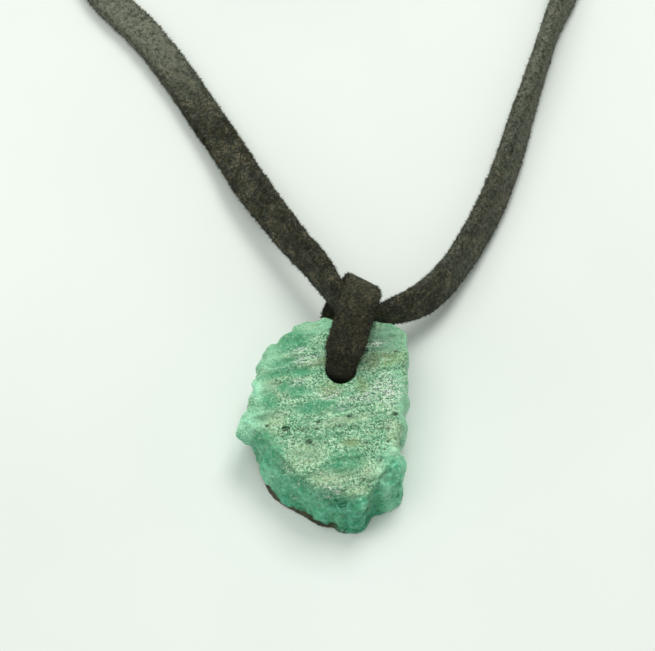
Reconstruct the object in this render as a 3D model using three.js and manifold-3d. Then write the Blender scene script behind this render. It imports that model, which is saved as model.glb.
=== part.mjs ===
// A raw emerald pendant: a rough, flat piece of emerald with a drilled hole, lying face up. A loop of
// suede lace through the hole is its bail, and a neck lace of the same suede runs through the bail.
// The spare neck lace lies behind it in a round coil, held by its own tied ends.
// Millimetres. +X is to the right of the stone's face, +Y towards the bail and +Z out of the face.

import * as THREE from "three";
import { ImprovedNoise } from "three/addons/math/ImprovedNoise.js";
import { mergeVertices } from "three/addons/utils/BufferGeometryUtils.js";
import Module from "manifold-3d";

const wasm = await Module();
wasm.setup();
const noise = new ImprovedNoise();

// Driving dimensions
const FACE_HEIGHT = 5.7; // back to front face, at the middle of the stone
const LEAN_X = 0.1; // how far the broken sides lean out from the face to the back
const LEAN_Y = -1.2;
const BACK_RISE = 2.2; // the back is this much higher under the bail
const RISE_FROM_Y = -2.0; // where the back starts to rise, along a ragged slanting line
const RISE_SLANT = 0.14;
const RISE_LENGTH = 2.4;
const RISE_WANDER = 1.1; // how far that line wanders to and fro
const BASE_SHARE = 0.95; // size of the back, as a share of the face
const RIDGE_HEIGHT = 0.15; // ridges along the layers of the face, and lumps across it
const LUMP_HEIGHT = 0.2;
const DOME_FALL = 0.006; // how fast the face falls away from its middle
const EDGE_WEAR = 0.5; // how far the border of the face is worn down
const RIM_DROP = 0.7; // the broken sides start this far below the face
const LEDGE_DEPTH = 0.42; // ledges and chips of the broken sides
const CHIP_DEPTH = 0.3;
const HOLE_X = 1.65;
const HOLE_Y = 2.2;
const HOLE_DIAMETER = 3.1;
const LACE_WIDTH = 3.2; // an eighth of an inch
const LACE_THICK = 1.5;
const BAIL_WIDTH = 3.4; // the bail's lace is pressed flat, and drawn narrow through the hole
const BAIL_THICK = 1.3;
const BAIL_IN_HOLE = 2.45;
const NARROW_FROM = 0; // the stretch out from the hole over which it comes to its full width
const NARROW_TO = 1.4;
const SQUEEZE = 0.22; // the neck lace is narrower by this share inside the bail
const SQUEEZE_LENGTH = 3.8;
const BAIL_LEAN = THREE.MathUtils.degToRad(15); // the bail leans to the right of +Y
const COIL_X = -1.5;
const COIL_Y = 67.5;
const COIL_RADIUS = 16; // at the middle of the lace
const COIL_LAYERS = 3; // turns of lace that lie on each other
const TURN_GAP = 0.08; // left between two turns
const FIT_GAP = 0.3; // left between pieces that touch

// Outline of the stone at its front face, from the left of the bail round by the left tip
const OUTLINE_CENTRE = [0.8, -1.5];
const OUTLINE = [
  [2.0, 7.75], [0.6, 7.65], [-0.7, 7.7], [-1.85, 7.5], [-2.85, 7.1], [-3.1, 6.5], [-3.75, 6.15], [-4.2, 5.6],
  [-4.4, 5.1], [-5.1, 4.95], [-5.75, 4.45], [-5.95, 3.75], [-5.85, 2.9], [-6.25, 2.2], [-6.15, 1.7],
  [-6.55, 1.35], [-6.65, 0.9], [-6.5, 0.4], [-6.95, -0.3], [-7.3, -1.6], [-7.75, -2.1], [-7.75, -2.75],
  [-8.2, -3.3], [-7.3, -4.0], [-6.65, -4.5], [-6.25, -5.05], [-5.8, -6.15], [-5.3, -7.0], [-4.6, -7.65],
  [-3.45, -8.45], [-2.05, -9.2], [-0.8, -10.05], [0.1, -10.4], [0.95, -10.35], [1.35, -10.9], [2.35, -11.0],
  [3.7, -10.9], [4.25, -10.2], [4.4, -9.45], [5.0, -9.15], [5.6, -9.05], [6.45, -8.55], [7.4, -8.05],
  [7.7, -7.15], [7.75, -6.4], [7.5, -5.95], [7.05, -5.5], [7.15, -4.6], [7.65, -3.6], [7.85, -2.8],
  [7.65, -1.9], [7.9, -0.7], [8.0, 0.6], [7.8, 1.5], [7.95, 2.9], [8.0, 4.2], [7.8, 5.3], [8.0, 6.25],
  [7.6, 6.8], [6.4, 7.35], [5.2, 7.6], [3.4, 7.75],
];

// Flat breaks in the stone: a point on each, and the way it faces
const BREAKS = [
  { at: [-2.9, -8.9, 2.4], facing: [-0.53, -0.8, 0.28] }, // lower left side
  { at: [8.15, 0.5, 3.0], facing: [1, 0.02, 0.1] }, // straight right side
  { at: [5.7, -8.0, 5.2], facing: [0.62, -0.45, 0.64] }, // lower right corner
  { at: [-4.6, 5.3, 4.7], facing: [-0.5, 0.5, 0.7] }, // shoulder at the upper left
  { at: [1.6, -9.7, 5.0], facing: [-0.08, -0.62, 0.78] }, // lower edge of the face
  { at: [-3.4, -6.3, 5.55], facing: [-0.55, -0.48, 0.68] }, // lower left edge of the face
  { at: [-7.3, -3.5, 5.0], facing: [-0.55, -0.3, 0.78] }, // left tip
  { at: [-7.3, -3.0, 2.5], facing: [-0.9, -0.2, -0.4] }, // hollow under the left tip
];

// Pits in the front face: place, width and depth
const PITS = [
  { at: [-3.35, -3.7], width: 0.9, depth: 0.32 },
  { at: [-1.2, -4.85], width: 0.8, depth: 0.3 },
  { at: [-0.4, -2.95], width: 0.55, depth: 0.28 },
  { at: [-0.55, -3.6], width: 0.5, depth: 0.26 },
  { at: [1.55, -3.35], width: 0.4, depth: 0.22 },
  { at: [6.55, -2.1], width: 0.75, depth: 0.3 },
  { at: [2.4, -2.4], width: 0.45, depth: 0.22 },
  { at: [3.95, -4.9], width: 0.5, depth: 0.24 },
  { at: [5.9, -4.75], width: 0.45, depth: 0.24 },
  { at: [5.2, -6.6], width: 0.4, depth: 0.22 },
  { at: [6.7, 4.1], width: 0.5, depth: 0.25 },
  { at: [-5.0, -3.3], width: 0.4, depth: 0.22 },
];

// The bail's loop, out of the hole, over the top of the stone and back behind it: distance from the
// hole along the bail, height, and how far the strand behind the stone stands to the side
const BAIL_LOOP = [
  [0.0, 4.4, 0], [0.1, 6.0, 0], [1.2, 6.95, 0], [3.2, 6.95, 0], [5.2, 6.85, 0], [7.2, 6.4, 0],
  [8.65, 5.3, -0.15], [9.1, 3.8, -0.6], [8.7, 2.3, -1.35], [7.4, 1.25, -1.85], [5.4, 0.85, -1.6],
  [3.4, 0.8, -0.8], [1.6, 0.82, -0.2], [0.3, 1.3, 0], [0.0, 2.8, 0],
];
const BAIL_SKEW = 0.26; // how far the fold at the end of the loop slants, for each millimetre of its width
const SKEW_FROM = 6.6; // the stretch of the loop over which the slant grows
const SKEW_TO = 8.6;

// The neck lace from the coil, down its left arm, through the bail and up its right arm to the coil:
// the middle of the lace, and how far its flat side is turned up on edge, in degrees
const ROUTE = [
  [-21.0, 62.9, 0.8, 0], [-22.6, 60.1, 0.8, 0], [-23.8, 56.7, 0.8, 0], [-24.3, 53.0, 0.8, 0],
  [-23.7, 48.8, 0.8, 0], [-21.9, 44.9, 0.8, 0], [-18.3, 41.0, 0.8, 0], [-15.6, 37.5, 0.8, 0],
  [-13.4, 34.1, 0.8, 0], [-11.3, 30.6, 0.95, 4], [-9.2, 27.1, 1.4, 10], [-7.3, 23.4, 2.2, 26],
  [-5.1, 19.8, 2.9, 46], [-2.8, 16.3, 3.5, 60], [-0.45, 13.2, 4.0, 68], [0.9, 11.0, 4.15, 75],
  [2.05, 9.2, 3.9, 80], [3.4, 8.35, 3.8, 82], [4.9, 8.25, 3.75, 82], [6.3, 8.8, 3.7, 76],
  [7.7, 9.4, 3.5, 66], [9.3, 10.3, 3.2, 60], [10.9, 11.9, 2.8, 62], [12.3, 13.8, 2.4, 65],
  [13.9, 16.5, 2.0, 64], [15.5, 19.6, 1.8, 62], [16.9, 22.8, 1.8, 62], [18.1, 26.2, 1.8, 64],
  [19.3, 30.2, 1.8, 71], [20.5, 34.0, 1.8, 78], [21.7, 37.8, 1.75, 82], [22.9, 41.4, 1.75, 80],
  [24.3, 45.0, 1.75, 64], [25.0, 49.1, 1.7, 40], [24.6, 53.6, 1.6, 18], [23.0, 58.1, 2.1, 6],
  [20.9, 62.4, 3.0, 0],
];
const ROUTE_STEPS = 78; // rings of facets along the route and round the bail
const BAIL_STEPS = 48;
const EYE = new THREE.Vector3(3.9, 8.45, 3.75); // where it passes through the bail

// The tied ends round the coil, on its far side
const TIE_THICK = 1.0;
const TIE_STEPS = 28;
const TIE_SIDES = 8;
const TIE_KNOT = [4.6, 3.4, 2.2]; // size of the knot on the tie
const TAIL = [2.6, 9.5, 1.0]; // width, length and thickness of each lace end out of the knot
const COIL_LIFT = TIE_THICK + FIT_GAP; // the coil rises over the tie by this much
const LIFT_SPREAD = 0.5; // half-width of that rise, in radians

// Materials
const emeraldGreen = new THREE.MeshStandardMaterial({ color: "#7fb396", roughness: 0.45, metalness: 0 });
const brownSuede = new THREE.MeshStandardMaterial({ color: "#3f3a2e", roughness: 0.95, metalness: 0 });

// A solid for joining and cutting, from a geometry placed by a matrix
function solid(geometry, matrix = new THREE.Matrix4()) {
  const bare = geometry.clone().applyMatrix4(matrix);
  bare.deleteAttribute("normal");
  bare.deleteAttribute("uv");
  const merged = mergeVertices(bare, 1e-4);
  return new wasm.Manifold(
    new wasm.Mesh({
      numProp: 3,
      vertProperties: merged.attributes.position.array,
      triVerts: new Uint32Array(merged.index.array),
    }),
  );
}

function geometryOf(made) {
  const mesh = made.getMesh();
  const geometry = new THREE.BufferGeometry();
  geometry.setAttribute("position", new THREE.BufferAttribute(new Float32Array(mesh.vertProperties), 3));
  geometry.setIndex(new THREE.BufferAttribute(new Uint32Array(mesh.triVerts), 1));
  geometry.computeVertexNormals();
  return geometry;
}

function smooth(from, to, value) {
  return THREE.MathUtils.smoothstep(value, from, to);
}

// Distance from the outline's centre to the outline, in a direction
function outlineRadius(angle) {
  const [cx, cy] = OUTLINE_CENTRE;
  const dx = Math.cos(angle);
  const dy = Math.sin(angle);
  let furthest = 0;
  OUTLINE.forEach(([ax, ay], i) => {
    const [bx, by] = OUTLINE[(i + 1) % OUTLINE.length];
    const across = dx * (by - ay) - dy * (bx - ax);
    const share = (dy * (ax - cx) - dx * (ay - cy)) / across;
    const reach = (ax + (bx - ax) * share - cx) * dx + (ay + (by - ay) * share - cy) * dy;
    if (share >= 0 && share <= 1 && reach > furthest) furthest = reach;
  });
  return furthest;
}

// Height of the front face: a low dome with ridges along the stone's layers, which rise to the right
const LAYER_ANGLE = THREE.MathUtils.degToRad(11);
function faceHeight(x, y) {
  const along = x * Math.cos(LAYER_ANGLE) + y * Math.sin(LAYER_ANGLE);
  const over = y * Math.cos(LAYER_ANGLE) - x * Math.sin(LAYER_ANGLE);
  const ridges = RIDGE_HEIGHT * noise.noise(along * 0.16, over * 0.85, 3.7);
  const lumps = LUMP_HEIGHT * noise.noise(x * 0.42, y * 0.42, 9.1);
  const dome = -DOME_FALL * ((x - 0.6) ** 2 + 0.7 * (y + 1) ** 2);
  return FACE_HEIGHT + dome + ridges + lumps;
}

// Height of the back: flat where the stone rests, and risen under the bail
function backHeight(x, y) {
  const risen = BACK_RISE + 0.25 * noise.noise(x * 0.6, y * 0.6, 5.3);
  const from = RISE_FROM_Y + RISE_SLANT * x + RISE_WANDER * noise.noise(x * 0.33, 2.1, 0.4);
  return risen * smooth(from, from + RISE_LENGTH, y);
}

const ROUND_STONE = 112; // steps round the outline
const FACE_ROWS = 8; // rows of facets on the face, the broken sides and the back
const SIDE_ROWS = 6;
const BACK_ROWS = 4;
const DRILL_LENGTH = 20;
const DRILL_SIDES = 28;
const EVEN_RADIUS = 8.6; // rows are round near the face's middle and take on the outline further out

// One vertex of the stone: row 0 is the middle of the face and the last row the middle of the back
function stonePoint(angle, row) {
  const [cx, cy] = OUTLINE_CENTRE;
  const radius = outlineRadius(angle);
  const dx = Math.cos(angle);
  const dy = Math.sin(angle);
  if (row <= FACE_ROWS) {
    const out = Math.pow(row / FACE_ROWS, 0.8);
    const reach = out * THREE.MathUtils.lerp(EVEN_RADIUS, radius - 0.25, out * out);
    const x = cx + dx * reach;
    const y = cy + dy * reach;
    const worn = EDGE_WEAR * smooth(0.86, 1, out) * (1 + noise.noise(x * 0.9, y * 0.9, 1.3));
    return [x, y, faceHeight(x, y) - worn];
  }
  const down = Math.min(1, (row - FACE_ROWS) / SIDE_ROWS);
  const lean = smooth(0.25, 0.75, Math.abs(dy));
  const baseX = cx + dx * radius * BASE_SHARE + LEAN_X * lean;
  const baseY = cy + dy * radius * BASE_SHARE + LEAN_Y * lean;
  if (row <= FACE_ROWS + SIDE_ROWS) {
    const rimX = cx + dx * radius;
    const rimY = cy + dy * radius;
    const top = faceHeight(rimX, rimY) - RIM_DROP;
    const foot = backHeight(baseX, baseY) + 0.25 * (1 - smooth(0.8, 1, down));
    const z = THREE.MathUtils.lerp(top, foot, Math.pow(down, 0.9));
    const bulge = Math.sin(Math.PI * down);
    const ledges = LEDGE_DEPTH * bulge * noise.noise(rimX * 0.55, rimY * 0.55, z * 1.1);
    const chips = CHIP_DEPTH * bulge * noise.noise(rimX * 1.3, rimY * 1.3, z * 1.6);
    const x = THREE.MathUtils.lerp(rimX, baseX, down) + dx * (ledges + chips);
    const y = THREE.MathUtils.lerp(rimY, baseY, down) + dy * (ledges + chips);
    return [x, y, z];
  }
  const inward = (row - FACE_ROWS - SIDE_ROWS) / BACK_ROWS;
  const x = THREE.MathUtils.lerp(baseX, cx, inward);
  const y = THREE.MathUtils.lerp(baseY, cy, inward);
  return [x, y, backHeight(x, y)];
}

// A half-space that faces away from a break, as a large block to cut with
function blockBeyond({ at, facing }) {
  const size = 60;
  const block = new THREE.BoxGeometry(size, size, size).translate(0, 0, size / 2);
  const turn = new THREE.Quaternion().setFromUnitVectors(
    new THREE.Vector3(0, 0, 1),
    new THREE.Vector3(...facing).normalize(),
  );
  const place = new THREE.Matrix4().compose(new THREE.Vector3(...at), turn, new THREE.Vector3(1, 1, 1));
  return solid(block, place);
}

function pitCut({ at: [x, y], width, depth }) {
  const size = new THREE.Vector3(width / 2, width / 3.2, depth);
  const turn = new THREE.Quaternion().setFromAxisAngle(new THREE.Vector3(0, 0, 1), LAYER_ANGLE);
  const place = new THREE.Matrix4().compose(new THREE.Vector3(x, y, faceHeight(x, y)), turn, size);
  return solid(new THREE.IcosahedronGeometry(1, 1), place);
}

// The stone: a ball drawn out to the outline, broken flat in places, pitted and drilled
function emerald() {
  const rows = FACE_ROWS + SIDE_ROWS + BACK_ROWS;
  const ball = new THREE.SphereGeometry(1, ROUND_STONE, rows);
  const place = ball.attributes.position;
  for (let row = 0; row <= rows; row++) {
    for (let i = 0; i <= ROUND_STONE; i++) {
      const angle = (2 * Math.PI * (i % ROUND_STONE)) / ROUND_STONE;
      place.setXYZ(row * (ROUND_STONE + 1) + i, ...stonePoint(angle, row));
    }
  }
  let stone = solid(ball);
  for (const face of BREAKS) stone = stone.subtract(blockBeyond(face));
  for (const pit of PITS) stone = stone.subtract(pitCut(pit));
  const drill = new THREE.CylinderGeometry(HOLE_DIAMETER / 2, HOLE_DIAMETER / 2, DRILL_LENGTH, DRILL_SIDES);
  const upright = new THREE.Matrix4().makeRotationX(Math.PI / 2).setPosition(HOLE_X, HOLE_Y, 0);
  stone = stone.subtract(solid(drill, upright));
  return new THREE.Mesh(geometryOf(stone), emeraldGreen);
}

// Section of the lace: a flat oblong with soft corners
function laceSection(angle, width, thick) {
  const soften = (value) => Math.sign(value) * Math.sqrt(Math.abs(value));
  return [(width / 2) * soften(Math.cos(angle)), (thick / 2) * soften(Math.sin(angle))];
}

// A closed band: place(share, across, proud) gives a point of it from the share of the way round, the
// distance across its width and the distance out of its middle
function closedBand(place, width, thick, steps, sides = 12) {
  const ring = new THREE.TorusGeometry(1, 0.3, sides, steps);
  const points = ring.attributes.position;
  for (let j = 0; j <= sides; j++) {
    const [across, proud] = laceSection((2 * Math.PI * (j % sides)) / sides, width, thick);
    for (let i = 0; i <= steps; i++) {
      points.setXYZ(j * (steps + 1) + i, ...place((i % steps) / steps, across, proud));
    }
  }
  return solid(ring);
}

// The bail: one loop of lace through the stone
function bail() {
  const stops = BAIL_LOOP.map(([s, z, side]) => new THREE.Vector3(s, side, z));
  const loop = new THREE.CatmullRomCurve3(stops, true);
  const band = closedBand(
    (share, reach, proud) => {
      const at = loop.getPointAt(share);
      const way = loop.getTangentAt(share).setY(0).normalize();
      const spread = smooth(NARROW_FROM, NARROW_TO, at.x);
      const narrow = THREE.MathUtils.lerp(BAIL_IN_HOLE / BAIL_WIDTH, 1, spread);
      const across = reach * narrow;
      const slant = -BAIL_SKEW * across * smooth(SKEW_FROM, SKEW_TO, at.x);
      const s = at.x - way.z * proud + slant;
      const z = at.z + way.x * proud;
      const side = at.y + across;
      const x = HOLE_X + s * Math.sin(BAIL_LEAN) + side * Math.cos(BAIL_LEAN);
      const y = HOLE_Y + s * Math.cos(BAIL_LEAN) - side * Math.sin(BAIL_LEAN);
      return [x, y, z];
    },
    BAIL_WIDTH,
    BAIL_THICK,
    BAIL_STEPS,
  );
  return new THREE.Mesh(geometryOf(band), brownSuede);
}

// The neck lace along its route, turned on edge where it squeezes through the bail
function neckLace() {
  const curve = new THREE.CatmullRomCurve3(ROUTE.map(([x, y, z]) => new THREE.Vector3(x, y, z)));
  const tilts = ROUTE.map((stop) => THREE.MathUtils.degToRad(stop[3]));
  const sides = 10;
  const lace = new THREE.CylinderGeometry(1, 1, 1, sides, ROUTE_STEPS);
  const points = lace.attributes.position;
  const up = new THREE.Vector3(0, 0, 1);
  for (let i = 0; i < points.count; i++) {
    const share = 0.5 - points.getY(i);
    const stop = curve.getUtoTmapping(share) * (ROUTE.length - 1);
    const before = Math.min(Math.floor(stop), ROUTE.length - 2);
    const tilt = THREE.MathUtils.lerp(tilts[before], tilts[before + 1], stop - before);
    const way = curve.getTangentAt(share);
    const level = up.clone().cross(way).normalize();
    const rising = way.clone().cross(level);
    const wide = level.clone().multiplyScalar(Math.cos(tilt)).addScaledVector(rising, Math.sin(tilt));
    const thin = way.clone().cross(wide);
    const at = curve.getPointAt(share);
    const squeeze = 1 - SQUEEZE * Math.exp(-((at.distanceTo(EYE) / SQUEEZE_LENGTH) ** 2));
    const spread = squeeze * Math.hypot(points.getX(i), points.getZ(i));
    const angle = Math.atan2(points.getZ(i), points.getX(i));
    const [across, proud] = laceSection(angle, LACE_WIDTH, LACE_THICK);
    at.addScaledVector(wide, across * spread).addScaledVector(thin, proud * spread);
    points.setXYZ(i, at.x, at.y, at.z);
  }
  return new THREE.Mesh(geometryOf(solid(lace)), brownSuede);
}

// How far the coil rises over the tie, in a direction from its middle
function coilLift(angle) {
  return COIL_LIFT * Math.exp(-(((angle - Math.PI / 2) / LIFT_SPREAD) ** 2));
}

// The outer form of the coiled spare lace
const COIL_HALF = LACE_WIDTH / 2 + 0.25; // half the ring's width, with the turns a little uneven
const COIL_HEIGHT = COIL_LAYERS * (LACE_THICK + TURN_GAP);
function laceCoil() {
  const inner = COIL_RADIUS - COIL_HALF;
  const outer = COIL_RADIUS + COIL_HALF;
  const soft = 0.4;
  const profile = [
    [inner, soft], [inner + soft, 0], [outer - soft, 0], [outer, soft],
    [outer, COIL_HEIGHT - soft], [outer - soft, COIL_HEIGHT], [inner + soft, COIL_HEIGHT],
    [inner, COIL_HEIGHT - soft], [inner, soft],
  ].map(([r, z]) => new THREE.Vector2(r, z));
  const ring = new THREE.LatheGeometry(profile, 48).rotateX(Math.PI / 2);
  const points = ring.attributes.position;
  for (let i = 0; i < points.count; i++) {
    const lift = coilLift(Math.atan2(points.getY(i), points.getX(i)));
    points.setZ(i, points.getZ(i) + lift);
  }
  const made = new THREE.Mesh(geometryOf(solid(ring)), brownSuede);
  made.position.set(COIL_X, COIL_Y, 0);
  return made;
}

// The lace's two ends, tied round the coil: a band, its knot and the two ends out of it
function closingKnot() {
  const middle = COIL_LIFT + COIL_HEIGHT / 2;
  const halfY = COIL_HALF + 2 * FIT_GAP + TIE_THICK / 2;
  const halfZ = COIL_HEIGHT / 2 + FIT_GAP + TIE_THICK / 2;
  const band = closedBand(
    (share, across, proud) => {
      const [y, z] = laceSection(-2 * Math.PI * share, 2 * (halfY + proud), 2 * (halfZ + proud));
      return [across, COIL_RADIUS + y, middle + z];
    },
    LACE_WIDTH,
    TIE_THICK,
    TIE_STEPS,
    TIE_SIDES,
  );
  const top = middle + halfZ + TIE_THICK / 2;
  const lump = new THREE.SphereGeometry(0.5, 12, 8).scale(...TIE_KNOT);
  let knot = band.add(solid(lump.translate(0, COIL_RADIUS, top + TIE_KNOT[2] * 0.3)));
  for (const side of [-1, 1]) {
    // each end comes down off the knot and lies along the top of the coil
    const tail = new THREE.BoxGeometry(...TAIL, 1, 10, 1);
    const points = tail.attributes.position;
    for (let i = 0; i < points.count; i++) {
      const along = points.getY(i) / TAIL[1] + 0.5;
      const angle = Math.PI / 2 - (side * along * TAIL[1]) / COIL_RADIUS;
      const radius = COIL_RADIUS - side * points.getX(i);
      const resting = COIL_HEIGHT + coilLift(angle) + FIT_GAP + TAIL[2] / 2;
      const height = THREE.MathUtils.lerp(top + FIT_GAP, resting, smooth(0.1, 0.75, along));
      points.setXYZ(i, radius * Math.cos(angle), radius * Math.sin(angle), height + points.getZ(i));
    }
    knot = knot.add(solid(tail));
  }
  const made = new THREE.Mesh(geometryOf(knot), brownSuede);
  made.position.set(COIL_X, COIL_Y, 0);
  return made;
}

const pendant = new THREE.Group();
const pieces = {
  emerald: emerald(),
  bail: bail(),
  neck_lace: neckLace(),
  lace_coil: laceCoil(),
  closing_knot: closingKnot(),
};
for (const [name, mesh] of Object.entries(pieces)) {
  mesh.name = name;
  pendant.add(mesh);
}

export default pendant;
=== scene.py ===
import math

import bpy
import numpy as np
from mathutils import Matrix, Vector


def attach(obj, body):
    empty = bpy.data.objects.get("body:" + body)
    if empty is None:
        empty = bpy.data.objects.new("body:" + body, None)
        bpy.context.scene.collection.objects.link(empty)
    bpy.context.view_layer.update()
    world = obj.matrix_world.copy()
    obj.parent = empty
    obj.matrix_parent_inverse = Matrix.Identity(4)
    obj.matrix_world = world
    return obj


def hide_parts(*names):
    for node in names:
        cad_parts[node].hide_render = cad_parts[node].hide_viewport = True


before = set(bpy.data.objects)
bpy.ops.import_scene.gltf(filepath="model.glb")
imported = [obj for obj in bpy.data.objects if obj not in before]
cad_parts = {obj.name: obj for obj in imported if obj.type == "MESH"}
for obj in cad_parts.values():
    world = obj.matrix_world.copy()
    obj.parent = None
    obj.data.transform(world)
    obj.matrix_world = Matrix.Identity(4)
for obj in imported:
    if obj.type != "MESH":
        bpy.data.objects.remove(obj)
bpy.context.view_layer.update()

scene = bpy.context.scene
MM = 0.001
UP = np.array((0, 0, 1))
QUARTER_TURN = math.pi / 2

# Camera, at the photograph's viewing angle: it looks along +Y and down on the table
CAMERA_ELEVATION = math.radians(66)
CAMERA_DISTANCE = 220 * MM
CAMERA_AIM = Vector((0.44 * MM, 9.05 * MM, 0))
CAMERA_LENS = 128
CAMERA_SENSOR = 36
CAMERA_CLIP = 1 * MM

# Table and light. A panel has its name, its place and size in metres and its power in watts
TABLE_SIZE = 3
TABLE_DROP = 0.06 * MM
SKY_COLOUR = (0.93, 1.0, 0.94, 1)
SKY_STRENGTH = 0.41
PANELS = [
    ("panel_left", (-0.22, 0.08, 0.52), 0.46, 1.06),
    ("panel_behind", (0.115, 0.355, 0.468), 0.27, 1.68),
]
PANEL_COLOUR = (0.96, 1.0, 0.95)
PANEL_AIM = Vector((0, 0.01, 0))

# Suede lace. From here on, sizes and places are in millimetres
LACE_WIDTH = 3.2
LACE_THICK = 1.5
LACE_CORNER = 0.5
CORNER_STEPS = 4
FLAT_SHARES = (0.25, 0.5, 0.75)  # where its flat sides have further points
EDGE_FROM = 0.8  # past this share of its half-width a point is on a cut edge
LACE_STEP = 0.36  # distance between the rings of its mesh
STOP_STEPS = 60  # steps of the smooth line from one stop to the next
TABLE_GAP = 0.01  # it lies this far above the table
SQUEEZE = 0.22  # the neck lace is narrower by this share inside the bail
SQUEEZE_LENGTH = 3.8
EYE = np.array((3.9, 8.45, 3.75))  # where the neck lace passes through the bail

# How uneven the lace is, as shares of its size: its cut edges, its flat sides and its width along its run
LACE_RIPPLE = 0.035
BAIL_RIPPLE = 0.05
TIE_RIPPLE = 0.04
FLAT_RIPPLE = 0.6  # of the edges' ripple
WAVE = 0.008
WAVE_RATE = 0.9
WAVE_DRIFT = 1.3
DRIFT_RATE = 0.23

# The nap: share on the cut edges, half-thickness, length on an edge and length on a flat side
FIBRES = (0.5, (0.018, 0.032), (0.12, 0.38), (0.1, 0.26))
TUFTS = (0.8, (0.04, 0.085), (0.12, 0.36), (0.06, 0.16))
STAND_ON_EDGE = 0.8  # how far a fibre stands out, against how far it lies over along and round the lace
STAND_ON_FLAT = 0.4
LIE_ALONG = 0.8
LIE_ROUND = 0.5
FIBRE_TURN = 0.3  # keeps a fibre's corners apart where it lies along the lace
ROOT_DEPTH = 0.05
NAP_LOWEST = 0.02  # no fibre reaches below this height
FIBRE_CORNERS = ((1, 0), (-0.5, 0.87), (-0.5, -0.87))
FIBRE_SIDES = ((0, 1, 3), (1, 2, 3), (2, 0, 3), (0, 2, 1))
LACE_NAP = (32000, 9000)  # number of fibres and of tufts
COIL_NAP = (15000, 4000)
BAIL_NAP = (8000, 1200)
COIL_NAP_FROM = 50  # past this Y the nap belongs to the coil

# Painted sheen on the suede: paler up its two arms where light glances off the nap, from one Y to another
# and by a share
LEFT_SHEEN = [(29, 41, 0.66)]
RIGHT_SHEEN = [(9, 15, 0.2), (18, 40, 0.34)]
SHEEN_END = (55, 44)
ARMS_PART = 3.5  # the X between the left arm and the right arm
# Painted shade on the bail: darker towards the hole, and low down behind the stone
SHADE_TO_HOLE = (10.5, 6.5)
SHADE_SHARE = 0.8
SHADE_LOW = (4.6, 3.2)

# The neck lace from the coil, down its left arm, through the bail and up its right arm to the coil:
# the middle of the lace, and how far it is turned up on edge, in degrees
ROUTE = [
    (-21.0, 62.9, 0.8, 0), (-22.6, 60.1, 0.8, 0), (-23.8, 56.7, 0.8, 0), (-24.3, 53.0, 0.8, 0),
    (-23.7, 48.8, 0.8, 0), (-21.9, 44.9, 0.8, 0), (-18.3, 41.0, 0.8, 0), (-15.6, 37.5, 0.8, 0),
    (-13.4, 34.1, 0.8, 0), (-11.3, 30.6, 0.95, 4), (-9.2, 27.1, 1.4, 10), (-7.3, 23.4, 2.2, 26),
    (-5.1, 19.8, 2.9, 46), (-2.8, 16.3, 3.5, 60), (-0.45, 13.2, 4.0, 68), (0.9, 11.0, 4.15, 75),
    (2.05, 9.2, 3.9, 80), (3.4, 8.35, 3.8, 82), (4.9, 8.25, 3.75, 82), (6.3, 8.8, 3.7, 76),
    (7.7, 9.4, 3.5, 66), (9.3, 10.3, 3.2, 60), (10.9, 11.9, 2.8, 62), (12.3, 13.8, 2.4, 65),
    (13.9, 16.5, 2.0, 64), (15.5, 19.6, 1.8, 62), (16.9, 22.8, 1.8, 62), (18.1, 26.2, 1.8, 64),
    (19.3, 30.2, 1.8, 71), (20.5, 34.0, 1.8, 78), (21.7, 37.8, 1.75, 82), (22.9, 41.4, 1.75, 80),
    (24.3, 45.0, 1.75, 64), (25.0, 49.1, 1.7, 40), (24.6, 53.6, 1.6, 18), (23.0, 58.1, 2.1, 6),
    (20.9, 62.4, 3.0, 0),
]
# How it climbs on to the coil from the right arm, and how it leaves under the coil for the left arm
COIL_FOOT = 0.76  # height of the middle of its lowest turn
ON_TO_COIL = [(18.9, 65.4, 3.9, 0), (16.6, 68.9, 4.6, 0)]
OFF_COIL = [(-18.7, 68.4, COIL_FOOT, 0)]
COIL_MIDDLE = (-1.5, 67.5)
COIL_RADIUS = 16.0
COIL_WOBBLE = 0.12
COIL_WOBBLE_RATE = 3.1
COIL_FROM = 30  # degrees round the coil, and on to
COIL_TO = 158 + 2 * 360
COIL_STEPS_PER_TURN = 16
COIL_HEIGHT = 4.74
COIL_LIFT = 1.3  # the coil rises over the tie at its far side
LIFT_SPREAD = 0.5

# The closing knot: a turn round the coil, a wrap over that turn and two ends laid along the coil
TIE_THICK = 1.0
TIE_SIDE_ROOM = 0.85
TIE_TOP_ROOM = 0.3
TIE_STEPS = 64
WRAP_HALF = (2.15, 0.95)
WRAP_ACROSS = np.array((-0.1, 1.35, 0.1))
WRAP_THICK = 0.95
WRAP_SLANT = 0.05
WRAP_RISE = 0.25
WRAP_STEPS = 48
END_LENGTH = 9.5
END_HALF_WIDTH = 1.35
END_FALL = (0.1, 0.75)  # shares of an end's length between which it comes down on to the coil
END_STEPS = 30

# The bail: distance from the hole along the bail, height, and distance to the side
BAIL_LOOP = [
    (0.0, 4.4, 0), (0.1, 6.0, 0), (1.2, 6.95, 0), (3.2, 6.95, 0), (5.2, 6.85, 0), (7.2, 6.4, 0),
    (8.65, 5.3, -0.15), (9.1, 3.8, -0.6), (8.7, 2.3, -1.35), (7.4, 1.25, -1.85), (5.4, 0.85, -1.6),
    (3.4, 0.8, -0.8), (1.6, 0.82, -0.2), (0.3, 1.3, 0), (0.0, 2.8, 0),
]
BAIL_STEP = 0.6 * LACE_STEP
BAIL_WIDTH = 3.4  # pressed flat, and drawn narrow through the hole
BAIL_THICK = 1.3
BAIL_IN_HOLE = 2.5
NARROW_FROM, NARROW_TO = 0.0, 1.4
BAIL_LEAN = math.radians(15)
BAIL_SKEW = 0.26
SKEW_FROM, SKEW_TO = 6.6, 8.6
HOLE = np.array((1.65, 2.2))
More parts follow.
